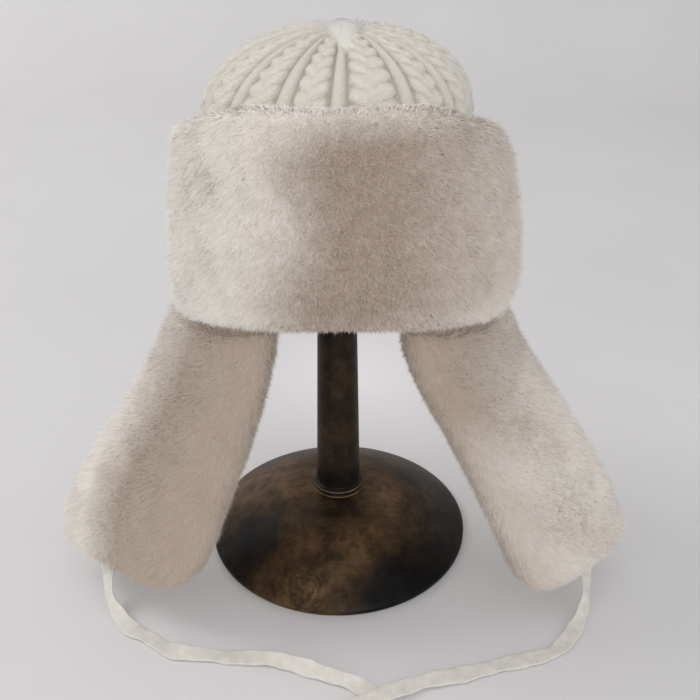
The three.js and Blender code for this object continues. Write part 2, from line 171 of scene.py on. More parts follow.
# Stand
BASE_RADIUS = 0.108
BASE_EDGE = 0.006
BASE_TOP = 0.044
POST_FOOT_RADIUS = 0.018
POST_TOP_RADIUS = 0.012
POST_TOP = 0.371
STAND_SIDES = 144
BEAD_HEIGHTS = (0.002, 0.006)
BEAD_BULGES = (0.0012, 0.0006)
BEAD_SIZE = 0.002
POST_TAPER_START = 0.0095
FOOT_STEPS = 24
POST_STEPS = 20

# The wood's stain: its level on the foot and the post, the painted highlight on each bead's crest, a knot
# in the foot, and patches on the foot, warmer with a strength above 0 and darker below 0, the dark one just
# in front of the post being its painted reflection and shade; one row each of x, y, radius and strength
FOOT_WARMTH = 0.50
POST_WARMTH = 0.20
BEAD_PAINTED_HIGHLIGHT = 1.5
KNOT_PLACE = (-0.027, -0.096, 0.02)
KNOT_RADIUS = 0.019
FOOT_PATCHES_AND_POST_REFLECTION = (
    (-0.051, 0.012, 0.036, 0.22),
    (0.052, -0.012, 0.036, 0.32),
    (0.022, -0.071, 0.022, 0.26),
    (-0.026, -0.096, 0.020, 0.18),
    # Painted reflection and shade of the post, just in front of its foot
    (0.003, -0.036, 0.018, -0.34),
    (-0.060, -0.045, 0.026, -0.36),
    (0.090, 0.010, 0.040, -0.42),
    (0.080, -0.060, 0.045, -0.55),
    (0.040, -0.100, 0.032, -0.62),
    (-0.098, -0.040, 0.034, -0.40),
    (-0.085, -0.085, 0.022, -0.25),
    (-0.050, 0.095, 0.040, -0.30),
    (0.050, 0.090, 0.045, -0.30),
)

# Floor: it rises behind into a wall, and a pool of light is painted on it round the last place below
FLOOR_HALF_WIDTH = 4.0
FLOOR_FRONT = -2.5
WALL_PLACE = 2.2
WALL_TOP = 3.5
SWEEP_RADIUS = 0.8
SWEEP_STEPS = 12
PAINTED_LIGHT_POOL_PLACE = (0.01, 0.24, 0.0)

# Plush skin: the node's form, smoothed and drawn in to make room for the strands
SKIN_VOXEL = 0.005
SKIN_SMOOTHING = 30
SMOOTHING_SHARES = (0.5, -0.526)
SKIN_INSET = 0.0036

# Plush strands on each piece: their tips gather in small tufts and, where the pile is tousled, in
# larger locks. A few are guard hairs, which are longer, finer and more upright than the rest.
STRANDS = 184000
STRAND_WIDTH = 0.00070
STRAND_LENGTH = 0.0066
STRAND_LEAN = 0.48
ROOT_SINK = 0.0006
TUFT_STRANDS = 24
TUFT_PULL = 0.16
LOCK_STRANDS = 170
GUARD_LEAN = 1.3
GUARD_LENGTH = 1.2
GUARD_WIDTH = 0.6
SEEN_FROM = (0, -0.45, 0.7)

# How the strands vary: lowest and highest share of the length, the width and the pull into a tuft,
# how far a strand spins about itself, and the waves in its lay, one row each of amount and patch size
LENGTH_SPREAD = (0.74, 1.10)
WIDTH_SPREAD = (0.7, 1.25)
PULL_SPREAD = (0.5, 1.3)
SPIN_SPREAD = 0.35
LAY_WAVES = ((0.13, 0.045), (0.08, 0.012))

# Plush colour: the middle shade, and how much the brown varies from strand to strand
PLAIN_SHADE = 0.6
BROWN_SPREAD = 0.10

# Plush map: cells in a row, and the share of its height that the skin takes
MAP_COLUMNS = 700
MAP_STRIP = 0.06

# A plush piece's node and random seed, and the charts of its pile: which way it lies, how dense it
# is, how brown (on the cuff and the flaps partly painted shade), how upright and loose, how long, and how
# much it gathers in locks
Pile = namedtuple("Pile", "node seed lay weigh brown upright reach tousle")

# How brown the cuff's pile is round the head, from 0 for pale to 1: partly the fur's own brown, partly
# painted shade where the cuff's front darkens
BROWN_AZIMUTHS = (-70, -30, -17, -11.5, -6, -1, 4.6, 15, 27, 41, 56, 90)
CUFF_BROWNS_AND_SHADE = (0.12, 0.02, 0.13, 0.32, 0.58, 0.82, 1.0, 0.98, 0.80, 0.68, 0.5, 0.3)

# Left flap: heights, where its pile parts, and where it turns from pale to brown, a brown that is partly
# painted shade on the flap's inner side
PARTING_HEIGHTS = (0.065, 0.10, 0.14, 0.18, 0.24)
PARTING = (-0.176, -0.157, -0.135, -0.109, -0.086)
BROWN_AND_SHADE_BORDER = (-0.176, -0.170, -0.142, -0.124, -0.099)

# Right flap: the tousled patch's x, z and radius
TOUSLED_PATCH = (0.172, 0.085, 0.024)


# Camera and light

def make_camera():
    lens = bpy.data.cameras.new("camera")
    lens.sensor_width = 36
    lens.lens = CAMERA_LENS
    lens.clip_start = 0.01
    camera = bpy.data.objects.new("camera", lens)
    camera.location = CAMERA_PLACE
    camera.rotation_euler = (math.radians(CAMERA_TILT), 0, 0)
    bpy.context.scene.collection.objects.link(camera)
    bpy.context.scene.camera = camera


def make_lamp(name, place, power, colour, shadow=True):
    lamp = bpy.data.lights.new(name, "AREA")
    lamp.use_shadow = shadow
    lamp.shape = "SQUARE"
    lamp.size = LAMP_SIZE
    lamp.energy = power
    lamp.color = colour
    holder = bpy.data.objects.new(name, lamp)
    holder.location = place
    holder.rotation_euler = (Vector(place) - Vector(LIT_PLACE)).to_track_quat("Z", "Y").to_euler()
    bpy.context.scene.collection.objects.link(holder)


def light_studio():
    scene = bpy.context.scene
    scene.view_settings.view_transform = "Standard"
    scene.view_settings.look = "None"
    world = bpy.data.worlds.new("studio")
    world.use_nodes = True
    background = world.node_tree.nodes["Background"]
    background.inputs["Color"].default_value = (*WORLD_COLOUR, 1)
    background.inputs["Strength"].default_value = WORLD_STRENGTH
    scene.world = world
    make_lamp("key", (-2.4, 0.7, 2.6), 34, (1.0, 0.985, 0.96))
    make_lamp("fill", (0.25, -2.2, 1.0), 22, (1.0, 0.99, 0.98), shadow=False)


# Mesh helpers

def unit(vectors):
    return vectors / np.maximum(np.linalg.norm(vectors, axis=-1, keepdims=True), 1e-12)


def new_object(name, vertices, faces):
    mesh = bpy.data.meshes.new(name)
    mesh.from_pydata([tuple(v) for v in vertices], [], [tuple(f) for f in faces])
    mesh.update()
    mesh.polygons.foreach_set("use_smooth", [True] * len(mesh.polygons))
    piece = bpy.data.objects.new(name, mesh)
    bpy.context.scene.collection.objects.link(piece)
    return piece


def ring_faces(rings, sides):
    """Quads between rings of points that follow each other, each ring closed on itself."""
    low = np.arange(rings - 1)[:, None] * sides
    high = low + sides
    side = np.arange(sides)[None, :]
    after = (side + 1) % sides
    quads = np.stack([low + side, low + after, high + after, high + side], axis=-1)
    return [tuple(quad) for quad in quads.reshape(-1, 4)]


def tube_faces(rings, sides):
    """The faces of a tube of rings, with a flat face over each end."""
    last = (rings - 1) * sides
    faces = ring_faces(rings, sides)
    faces.append(tuple(range(sides))[::-1])
    faces.append(tuple(last + i for i in range(sides)))
    return faces


def vertex_vectors(mesh, kind):
    """The mesh's points, or its normals, as an array with a row for each vertex."""
    values = np.empty(len(mesh.vertices) * 3)
    mesh.vertices.foreach_get(kind, values)
    return values.reshape(-1, 3)


def store_values(piece, name, values):
    """Stores one number for each vertex, for the material to read."""
    layer = piece.data.attributes.new(name, "FLOAT", "POINT")
    layer.data.foreach_set("value", values.astype(np.float32))


def store_map(piece, name, spots):
    """Stores a flat map from one spot for each vertex."""
    corner = np.empty(len(piece.data.loops), int)
    piece.data.loops.foreach_get("vertex_index", corner)
    layer = piece.data.uv_layers.new(name=name)
    layer.data.foreach_set("uv", spots[corner].astype(np.float32).ravel())


def finish_piece(piece, node, material):
    piece.data.materials.append(material)
    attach(piece, "root")
    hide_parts(node)


# Materials

def new_material(name, roughness, specular=0.5):
    material = bpy.data.materials.new(name)
    material.use_nodes = True
    shader = material.node_tree.nodes["Principled BSDF"]
    shader.inputs["Roughness"].default_value = roughness
    shader.inputs["Specular IOR Level"].default_value = specular
    return material, material.node_tree, shader


def add_node(tree, kind, **settings):
    node = tree.nodes.new(kind)
    for name, value in settings.items():
        if name in node.inputs:
            node.inputs[name].default_value = value
        else:
            setattr(node, name, value)
    return node


def colour_ramp(tree, stops, source):
    ramp = tree.nodes.new("ShaderNodeValToRGB")
    ramp.color_ramp.elements[0].position = stops[0][0]
    ramp.color_ramp.elements[0].color = (*stops[0][1], 1)
    ramp.color_ramp.elements[1].position = stops[-1][0]
    ramp.color_ramp.elements[1].color = (*stops[-1][1], 1)
    for place, colour in stops[1:-1]:
        ramp.color_ramp.elements.new(place).color = (*colour, 1)
    tree.links.new(source, ramp.inputs["Fac"])
    return ramp.outputs["Color"]


def mix_colour(tree, share, first, second, blend="MIX"):
    mix = tree.nodes.new("ShaderNodeMix")
    mix.data_type = "RGBA"
    mix.blend_type = blend
    for socket, value in ((mix.inputs[0], share), (mix.inputs[6], first), (mix.inputs[7], second)):
        if hasattr(value, "links"):
            tree.links.new(value, socket)
        elif isinstance(value, tuple):
            socket.default_value = (*value, 1)
        else:
            socket.default_value = value
    return mix.outputs[2]


def object_place(tree, scale=(1, 1, 1), middle=(0, 0, 0)):
    """Places in the object's frame, measured from the given middle and stretched by the scale."""
    place = tree.nodes.new("ShaderNodeTexCoord")
    mapping = tree.nodes.new("ShaderNodeMapping")
    mapping.inputs["Scale"].default_value = scale
    mapping.inputs["Location"].default_value = tuple(-value for value in middle)
    tree.links.new(place.outputs["Object"], mapping.inputs["Vector"])
    return mapping.outputs["Vector"]


def noise(tree, vector, scale, detail=3.0, roughness=0.55):
    texture = add_node(tree, "ShaderNodeTexNoise", Scale=scale, Detail=detail, Roughness=roughness)
    tree.links.new(vector, texture.inputs["Vector"])
    return texture.outputs["Fac"]


def add_bump(tree, shader, height, distance, strength, before=None):
    bump = add_node(tree, "ShaderNodeBump", Distance=distance, Strength=strength)
    tree.links.new(height, bump.inputs["Height"])
    if before is not None:
        tree.links.new(before, bump.inputs["Normal"])
    tree.links.new(bump.outputs["Normal"], shader.inputs["Normal"])
    return bump.outputs["Normal"]


def halved(tree, source):
    half = add_node(tree, "ShaderNodeMath", operation="MULTIPLY")
    tree.links.new(source, half.inputs[0])
    half.inputs[1].default_value = 0.5
    return half.outputs[0]


def plush_material():
    """Plush whose stored tint holds its place from root to tip, its shade and how brown it is."""
    material, tree, shader = new_material("plush_pile", 0.85, 0.15)
    shader.inputs["Sheen Weight"].default_value = 0.4
    shader.inputs["Sheen Roughness"].default_value = 0.5
    shader.inputs["Sheen Tint"].default_value = (1.0, 0.96, 0.92, 1)
    tint = add_node(tree, "ShaderNodeAttribute", attribute_name="pile_tint")
    parts = tree.nodes.new("ShaderNodeSeparateColor")
    tree.links.new(tint.outputs["Color"], parts.inputs["Color"])
    pale = colour_ramp(
        tree,
        [
            (0.0, (0.62, 0.565, 0.505)),
            (0.5, (0.745, 0.70, 0.645)),
            (1.0, (0.83, 0.795, 0.752)),
        ],
        parts.outputs["Red"],
    )
    brown = colour_ramp(
        tree,
        [
            (0.0, (0.245, 0.19, 0.14)),
            (0.5, (0.345, 0.277, 0.217)),
            (1.0, (0.495, 0.41, 0.335)),
        ],
        parts.outputs["Red"],
    )
    colour = mix_colour(tree, parts.outputs["Blue"], pale, brown)
    shade = colour_ramp(
        tree,
        [
            (0.0, (0.70, 0.69, 0.68)),
            (PLAIN_SHADE, (1.0, 1.0, 1.0)),
            (1.0, (1.12, 1.13, 1.14)),
        ],
        parts.outputs["Green"],
    )
    tree.links.new(mix_colour(tree, 1.0, colour, shade, "MULTIPLY"), shader.inputs["Base Color"])
    return material


def knit_material():
    """Cream wool with the strands' own stitches, with painted shade in the knit's grooves and painted light
    on its raised strands and the fold.
    """
    material, tree, shader = new_material("cream_wool", 0.9, 0.2)
    shader.inputs["Sheen Weight"].default_value = 0.3
    shader.inputs["Sheen Roughness"].default_value = 0.6
    stitches = add_node(tree, "ShaderNodeUVMap", uv_map="stitches")
    wave = add_node(tree, "ShaderNodeTexWave", Scale=1.0, Distortion=1.2, Detail=2.0)
    wave.inputs["Detail Scale"].default_value = 2.0
    wave.wave_type = "BANDS"
    wave.bands_direction = "Y"
    tree.links.new(stitches.outputs["UV"], wave.inputs["Vector"])
    place = object_place(tree)
    fuzz = noise(tree, place, 1400.0, 4.0, 0.7)
    loops = add_bump(tree, shader, wave.outputs["Fac"], 0.0007, 0.75)
    add_bump(tree, shader, fuzz, 0.0003, 0.5, loops)
    # The stored painted shading: dark in the grooves, pale on the raised strands and the fold
    deep = add_node(tree, "ShaderNodeAttribute", attribute_name="knit_painted_shading")
    body = colour_ramp(
        tree,
        [
            (0.0, (0.60, 0.55, 0.465)),
            (0.22, (0.77, 0.73, 0.65)),
            (0.75, (0.865, 0.83, 0.755)),
            (1.0, (0.95, 0.925, 0.86)),
        ],
        deep.outputs["Fac"],
    )
    flecks = colour_ramp(tree, [(0.3, (0.93, 0.92, 0.90)), (0.7, (1, 1, 1))], noise(tree, place, 420.0))
    tree.links.new(mix_colour(tree, 1.0, body, flecks, "MULTIPLY"), shader.inputs["Base Color"])
    return material


def tape_material():
    """Soft woven tape, a little crumpled."""
    material, tree, shader = new_material("cream_tape", 0.85, 0.25)
    shader.inputs["Sheen Weight"].default_value = 0.25
    weave = add_node(tree, "ShaderNodeUVMap", uv_map="weave")
    wave = add_node(tree, "ShaderNodeTexWave", Scale=1.0, Distortion=0.6, Detail=1.0)
    wave.bands_direction = "DIAGONAL"
    tree.links.new(weave.outputs["UV"], wave.inputs["Vector"])
    place = object_place(tree)
    crumple = noise(tree, place, 160.0, 3.0)
    first = add_bump(tree, shader, crumple, 0.0012, 0.35)
    add_bump(tree, shader, wave.outputs["Fac"], 0.0002, 0.5, first)
    colour = colour_ramp(tree, [(0.3, (0.65, 0.62, 0.565)), (0.7, (0.75, 0.725, 0.67))], crumple)
    tree.links.new(colour, shader.inputs["Base Color"])
    return material


def wood_material(name, grain):
    """Dark stained wood whose stored chart sets its patches and its painted highlights and reflection:
    grain is the stretch of its lines on each axis.
    """
    material, tree, shader = new_material(name, 0.5, 0.12)
    shader.inputs["Coat Weight"].default_value = 0.06
    shader.inputs["Coat Roughness"].default_value = 0.28
    place = object_place(tree)
    patches = noise(tree, place, 22.0, 4.0, 0.6)
    lines = noise(tree, object_place(tree, scale=grain), 1.0, 6.0, 0.65)
    # Colour from the stored chart, which holds the stain's patches and the painted highlights and
    # reflection
    stain_and_painted_light = add_node(tree, "ShaderNodeAttribute", attribute_name="stain_and_painted_light")
    uneven = add_node(tree, "ShaderNodeMath", operation="MULTIPLY_ADD")
    tree.links.new(patches, uneven.inputs[0])
    uneven.inputs[1].default_value = 0.9
    tree.links.new(stain_and_painted_light.outputs["Fac"], uneven.inputs[2])
    stain_colour_and_painted_light = colour_ramp(
        tree,
        [
            (0.20, (0.005, 0.0045, 0.005)),
            (0.31, (0.017, 0.0115, 0.0075)),
            (0.45, (0.060, 0.037, 0.018)),
            (0.62, (0.150, 0.094, 0.047)),
            (0.95, (0.30, 0.24, 0.16)),
        ],
        halved(tree, uneven.outputs[0]),
    )
    streaks = colour_ramp(tree, [(0.3, (0.75, 0.73, 0.71)), (0.7, (1.22, 1.18, 1.14))], lines)
    body = mix_colour(tree, 1.0, stain_colour_and_painted_light, streaks, "MULTIPLY")
    mottle = noise(tree, place, 75.0, 8.0, 0.72)
    spots = colour_ramp(tree, [(0.36, (0.45, 0.44, 0.43)), (0.64, (1.38, 1.36, 1.32))], mottle)
    body = mix_colour(tree, 1.0, body, spots, "MULTIPLY")
    rings = add_node(tree, "ShaderNodeTexWave", Scale=62.0, Distortion=11.0, Detail=4.0)
    rings.inputs["Detail Scale"].default_value = 1.2
    rings.wave_type = "RINGS"
    rings.rings_direction = "SPHERICAL"
    tree.links.new(object_place(tree, middle=KNOT_PLACE), rings.inputs["Vector"])
    knot = add_node(tree, "ShaderNodeAttribute", attribute_name="knot")
    circles = colour_ramp(tree, [(0.1, (0.66, 0.65, 0.64)), (0.8, (1.18, 1.15, 1.1))], rings.outputs["Fac"])
    ringed = mix_colour(tree, 1.0, body, circles, "MULTIPLY")
    body = mix_colour(tree, knot.outputs["Fac"], body, ringed)
    tree.links.new(body, shader.inputs["Base Color"])
    rough = add_node(tree, "ShaderNodeMapRange")
    rough.inputs["To Min"].default_value = 0.40
    rough.inputs["To Max"].default_value = 0.60
    tree.links.new(lines, rough.inputs["Value"])
    tree.links.new(rough.outputs["Result"], shader.inputs["Roughness"])
    add_bump(tree, shader, lines, 0.0004, 0.3)
    return material


def floor_material():
    """A pale matt floor, with a painted pool of light behind the stand."""
    material, tree, shader = new_material("pale_floor", 0.6, 0.3)
    place = object_place(tree)
    colour = colour_ramp(
        tree, [(0.3, (0.70, 0.69, 0.695)), (0.7, (0.73, 0.72, 0.725))], noise(tree, place, 3.0)
    )
    # Painted pool of light: the floor's colour is raised towards the middle of the pool
    pool = add_node(tree, "ShaderNodeVectorMath", operation="LENGTH")
    tree.links.new(object_place(tree, middle=PAINTED_LIGHT_POOL_PLACE), pool.inputs[0])
    painted_pool_light = colour_ramp(tree, [(0.0, (1.22, 1.22, 1.22)), (0.16, (1.0, 1.0, 1.0))], pool.outputs["Value"])
    tree.links.new(mix_colour(tree, 1.0, colour, painted_pool_light, "MULTIPLY"), shader.inputs["Base Color"])
    return material


# Floor

def make_floor():
    """The floor, and the wall that rises from it in one sweep."""
    start = WALL_PLACE - SWEEP_RADIUS
    profile = [(FLOOR_FRONT, 0.0), (start, 0.0)]
    for step in range(1, SWEEP_STEPS + 1):
        angle = math.radians(90 * step / SWEEP_STEPS)
        profile.append((start + SWEEP_RADIUS * math.sin(angle), SWEEP_RADIUS * (1 - math.cos(angle))))
    profile.append((WALL_PLACE, WALL_TOP))
    vertices = []
    for y, z in profile:
        vertices += [(-FLOOR_HALF_WIDTH, y, z), (FLOOR_HALF_WIDTH, y, z)]
    faces = [(2 * i, 2 * i + 1, 2 * i + 3, 2 * i + 2) for i in range(len(profile) - 1)]
    floor = new_object("floor", vertices, faces)
    floor.data.materials.append(floor_material())


# Ties

def smooth_route(rows, count):
    """Points on a Catmull-Rom curve through the rows, one row of x, y, z and angle each."""
    table = np.array(rows, float)
    padded = np.vstack([2 * table[0] - table[1], table, 2 * table[-1] - table[-2]])
    place = np.linspace(0, len(table) - 1, count)
    start = np.minimum(place.astype(int), len(table) - 2)
    t = (place - start)[:, None]
    a, b, c, d = (padded[start + k] for k in range(4))
    square = 2 * a - 5 * b + 4 * c - d
    cube = 3 * b - a - 3 * c + d
    return 0.5 * (2 * b + (c - a) * t + square * t**2 + cube * t**3)


def make_tie(name, rows, node, seed, material):
    """A flat tape along its route, with uneven width, slightly rolled edges and small ripples."""
    route = smooth_route(rows, TIE_STEPS)
    middle = route[:, :3]
    ahead = unit(np.gradient(middle, axis=0))
    across = unit(np.cross([0, 0, 1], ahead))
    angle = np.radians(route[:, 3])[:, None]
    wide = across * np.cos(angle) + np.cross(ahead, across) * np.sin(angle)
    deep = np.cross(ahead, wide)
    along = np.linalg.norm(np.gradient(middle, axis=0), axis=1).cumsum()
    rng = np.random.default_rng(seed)
    phases = rng.uniform(0, 2 * np.pi, 4)
    squeeze = 1 + 0.10 * np.sin(along * 130 + phases[0]) + 0.06 * np.sin(along * 310 + phases[1])
    ripple = 0.00035 * np.sin(along * 240 + phases[2]) + 0.00025 * np.sin(along * 520 + phases[3])
    turn = 2 * np.pi * (np.arange(TIE_SIDES) + 0.5) / TIE_SIDES
    flat = np.sign(np.cos(turn)) * np.abs(np.cos(turn)) ** 0.45
    thick = np.sign(np.sin(turn)) * np.abs(np.sin(turn)) ** 0.6
    rolled = 1 + 0.45 * np.abs(flat) ** 4
    u = TIE_WIDTH / 2 * 0.94 * squeeze[:, None] * flat[None, :]
    v = TIE_THICKNESS / 2 * 0.72 * (thick * rolled)[None, :]
    v = v + ripple[:, None] * np.cos(2.2 * flat)[None, :]
    rings = middle[:, None] + wide[:, None] * u[..., None] + deep[:, None] * v[..., None]
    rings[..., 2] = np.maximum(rings[..., 2], 0.0003)
    piece = new_object(name, rings.reshape(-1, 3), tube_faces(TIE_STEPS, TIE_SIDES))
    lengthwise = np.repeat(along, TIE_SIDES) / THREAD_PITCH
    crosswise = np.tile(flat, TIE_STEPS) * TIE_WIDTH / 2 / THREAD_PITCH
    store_map(piece, "weave", np.stack([lengthwise, crosswise], axis=1))
    finish_piece(piece, node, material)


# Crown

def repeat_azimuth(place):
    """The azimuth of a place counted in repeats of the knit, of which the first is the widest."""
    return REPEAT_ANGLE * place + (WIDE_CABLE - REPEAT_ANGLE) * np.clip(place, 0, 1)


def crown_surface(azimuth, climb, outwards, rise):
    """Points of the crown: climb 0 is the rim, 1 the shoulder and 2 the top of the dome."""
    angle = np.radians(azimuth)
    lift = np.radians(90 * np.maximum(0, climb - 1))
    narrow = np.cos(lift) ** DOME_SQUARENESS
    climbed = np.sin(lift) ** DOME_SQUARENESS
    x = (HEAD_HALF_WIDTH + outwards + rise) * np.sin(angle)
    y = -(HEAD_HALF_DEPTH + outwards + rise) * np.cos(angle)
    away = np.abs((azimuth + 180) % 360 - 180)
    rim = RIM_HEIGHT - RIM_SLOPE * y + np.interp(away, CUFF_LOW_AZIMUTHS, CUFF_LOWS)
    top = CROWN_TOP - KNIT_WALL + outwards + rise
    low = rim + (SHOULDER_HEIGHT - rim) * np.minimum(climb, 1)
    z = np.where(climb <= 1, low, SHOULDER_HEIGHT + (top - SHOULDER_HEIGHT) * climbed)
    return np.stack([x * narrow + DOME_LEAN * climbed, y * narrow, z], axis=-1)


def knit_relief(place, arc):
    """The knit's rise at a place counted in repeats and a length up the crown, and how far across
    its strand that place is, from -1 to 1, with each strand's range moved on by STITCH_SPACING."""
    share = place % 1.0
    index = np.floor(place) % CABLES
    narrowing = np.where(index == 0, REPEAT_ANGLE / WIDE_CABLE, 1.0)
    rib_half = RIB_HALF_SHARE * narrowing
    groove = GROOVE_SHARE * narrowing
    from_rib = np.minimum(share, 1 - share)
    rib = np.sqrt(np.clip(1 - (from_rib / rib_half) ** 2, 0, 1)) * RIB_RISE
    edge = rib_half + groove
    across = 2 * (share - edge) / (1 - 2 * edge) - 1
    inside = np.clip((1 - np.abs(across)) * 8, 0, 1)
    best = np.zeros_like(share)
    beside = from_rib / rib_half * 0.5
    turn = 2 * np.pi * arc / PLAIT_LENGTH + index * PLAIT_SHIFT
    for strand in range(PLAIT_STRANDS):
        phase = turn + 2 * np.pi * strand / PLAIT_STRANDS
        off = (across - PLAIT_SWING * np.sin(phase)) / STRAND_HALF_SHARE
        round_top = np.clip(1 - off**2, 0, 1) ** 0.7 * STRAND_RISE
        height = np.where(np.abs(off) < 1, round_top + STRAND_CROSSING * (1 + np.sin(2 * phase)), 0)
        beside = np.where(height > best, off + STITCH_SPACING * strand, beside)
        best = np.maximum(best, height)
    return np.where(from_rib < rib_half, rib, best * inside), beside


def make_crown(material):
    """The hollow crown: its inner wall, and its outer side with the knit's cables and ribs."""
    columns = CABLES * COLUMNS_PER_CABLE
    place = np.arange(columns) / COLUMNS_PER_CABLE
    azimuth = repeat_azimuth(place)
    climbs = np.concatenate([WALL_CLIMBS, DOME_CLIMBS])
    grid_azimuth, grid_climb = np.meshgrid(azimuth, climbs)
    plain = crown_surface(grid_azimuth, grid_climb, KNIT_WALL, 0.0)
    arc = np.linalg.norm(np.gradient(plain, axis=0), axis=-1).cumsum(axis=0)
    radius = np.hypot(plain[..., 0] - DOME_LEAN, plain[..., 1])
    rise, beside = knit_relief(np.tile(place, (len(climbs), 1)), arc)
    fade = np.clip(radius / GATHER_RADIUS, 0, 1) ** 0.7
    fold = gathered_fold(plain)
    rise = np.maximum(rise * fade, fold)
    outer = crown_surface(grid_azimuth, grid_climb, KNIT_WALL, rise)
    inner_azimuth, inner_climb = np.meshgrid(azimuth, INNER_CLIMBS)
    inner = crown_surface(inner_azimuth, inner_climb, 0.0, 0.0)
    rings = np.concatenate([inner, outer])
    faces = ring_faces(len(rings), columns)
    count = len(rings) * columns
    vertices = np.vstack([rings.reshape(-1, 3), inner[0].mean(0), outer[-1].mean(0) + [0, 0, 0.0004]])
    last = (len(rings) - 1) * columns
    for i in range(columns):
        j = (i + 1) % columns
        faces.append((count, j, i))
        faces.append((count + 1, last + i, last + j))
    piece = new_object("crown_knit", vertices, faces)
    spare = len(INNER_CLIMBS) * columns
    # Painted shade and light: the knit is darker in its grooves and paler on its raised strands and the
    # fold
    knit_painted_shade_and_light = 0.75 * np.clip(rise / KNIT_FULL_DEPTH, 0, 1)
    fold_painted_light = np.clip(fold / FOLD_FULL_DEPTH, 0, 1)
    painted_shade_and_light = np.maximum(knit_painted_shade_and_light, fold_painted_light).ravel()
    inside = np.full(spare, INNER_PALENESS)
    store_values(piece, "knit_painted_shading", np.concatenate([inside, painted_shade_and_light, [INNER_PALENESS, 1.0]]))
    stitches = np.zeros((len(vertices), 2))
    across = (beside + 1) % STITCH_SPACING - 1
    stitches[spare:count, 0] = beside.ravel()
    stitches[spare:count, 1] = (arc / STITCH_LENGTH + STITCH_SLANT * np.abs(across)).ravel()
    store_map(piece, "stitches", stitches)
    finish_piece(piece, "crown", material)


def gathered_fold(points):
    """The rise of the gathered top's fold, which gets narrower and lower towards the front."""
    line = np.array(FOLD_END) - FOLD_START
    offset = points[..., :2] - FOLD_START
    share = np.clip((offset @ line) / (line @ line), 0, 1)
    away = np.linalg.norm(offset - share[..., None] * line, axis=-1)
    half = FOLD_HALF_WIDTH * (1 - 0.55 * share)
    return FOLD_RISE * np.clip(1 - (away / half) ** 2, 0, 1) ** 0.6 * (1 - 0.4 * share)


# Plush

def smooth_skin(node, name):
    """The node's form without its locks, drawn in so that the pile ends at the node's surface."""
    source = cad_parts[node]
    copy = bpy.data.objects.new(name, source.data.copy())
    bpy.context.scene.collection.objects.link(copy)
    remesh = copy.modifiers.new("remesh", "REMESH")
    remesh.mode = "VOXEL"
    remesh.voxel_size = SKIN_VOXEL
    graph = bpy.context.evaluated_depsgraph_get()
    mesh = bpy.data.meshes.new_from_object(copy.evaluated_get(graph))
    bpy.data.objects.remove(copy)
    places = even_out(mesh)
    mesh.vertices.foreach_set("co", places.ravel())
    mesh.update()
    normals = vertex_vectors(mesh, "normal")
    tree = BVHTree.FromPolygons([tuple(p) for p in places], [tuple(f.vertices) for f in mesh.polygons])
    inset = np.full(len(places), SKIN_INSET)
    for i, place in enumerate(places):
        inward = Vector(-normals[i])
        hit = tree.ray_cast(Vector(place) + inward * 0.0005, inward)
        if hit[3] is not None:
            inset[i] = min(SKIN_INSET, 0.35 * hit[3])
    places = places - normals * inset[:, None]
    mesh.vertices.foreach_set("co", places.ravel())
    mesh.update()
    return mesh, inset


def even_out(mesh):
    """The mesh's points with its small steps taken out and its size kept."""
    places = vertex_vectors(mesh, "co")
    count = len(places)
    ends = np.empty(len(mesh.edges) * 2, int)
    mesh.edges.foreach_get("vertices", ends)
    first, second = ends.reshape(-1, 2).T
    degree = np.bincount(ends, minlength=count)[:, None]
    for _ in range(SKIN_SMOOTHING):
        for share in SMOOTHING_SHARES:
            total = np.empty((count, 3))
            for k in range(3):
                total[:, k] = np.bincount(first, places[second, k], count)
                total[:, k] += np.bincount(second, places[first, k], count)
            places = places + share * (total / degree - places)
    return places


def sample_skin(mesh, inset, weigh, rng):
    """Random places on the skin with their normals and depth, denser where weigh says so."""
    mesh.calc_loop_triangles()
    corners = np.empty(len(mesh.loop_triangles) * 3, int)
    mesh.loop_triangles.foreach_get("vertices", corners)
    corners = corners.reshape(-1, 3)
    places = vertex_vectors(mesh, "co")
    normals = vertex_vectors(mesh, "normal")
    a, b, c = (places[corners[:, k]] for k in range(3))
    area = np.linalg.norm(np.cross(b - a, c - a), axis=1) / 2
    middle = (a + b + c) / 3
    normal = unit(normals[corners].sum(axis=1))
    chance = area * weigh(middle, normal)
    pick = np.sort(rng.choice(len(corners), STRANDS, p=chance / chance.sum()))
    s = np.sqrt(rng.random(STRANDS))
    t = rng.random(STRANDS)
    shares = np.stack([1 - s, s * (1 - t), s * t], axis=1)[..., None]
    roots = (places[corners[pick]] * shares).sum(axis=1)
    outs = unit((normals[corners[pick]] * shares).sum(axis=1))
    depth = (inset[corners[pick]] * shares[..., 0]).sum(axis=1)
    return roots, outs, depth


def wave_field(points, size, seed, layers=5):
    """A smooth random vector at each point, about one long, with patches of the given size."""
    rng = np.random.default_rng(seed)
    total = np.zeros((len(points), 3))
    for _ in range(layers):
        way = unit(rng.normal(size=3)) * 2 * np.pi / size * rng.uniform(0.7, 1.4)
        amount = rng.normal(size=3)
        total += np.sin(points @ way + rng.uniform(0, 2 * np.pi))[:, None] * amount
    return total / math.sqrt(layers)


def gather_tufts(tips, roots, rng, share, strands_each):
    """Draws the tips towards the middles of tufts, which share the strands among them."""
    heads = rng.choice(len(roots), len(roots) // strands_each, replace=False)
    tree = KDTree(len(heads))
    for number, place in enumerate(roots[heads].tolist()):
        tree.insert(place, number)
    tree.balance()
    group = np.array([tree.find(place)[1] for place in roots.tolist()])
    members = np.maximum(np.bincount(group, minlength=len(heads)), 1)
    centre = np.stack([np.bincount(group, tips[:, k], len(heads)) / members for k in range(3)], axis=1)
    pull = share * rng.uniform(*PULL_SPREAD, len(tips))[:, None]
    tone = rng.uniform(0, 1, len(heads))[group]
    return tips + (centre[group] - tips) * pull, tone


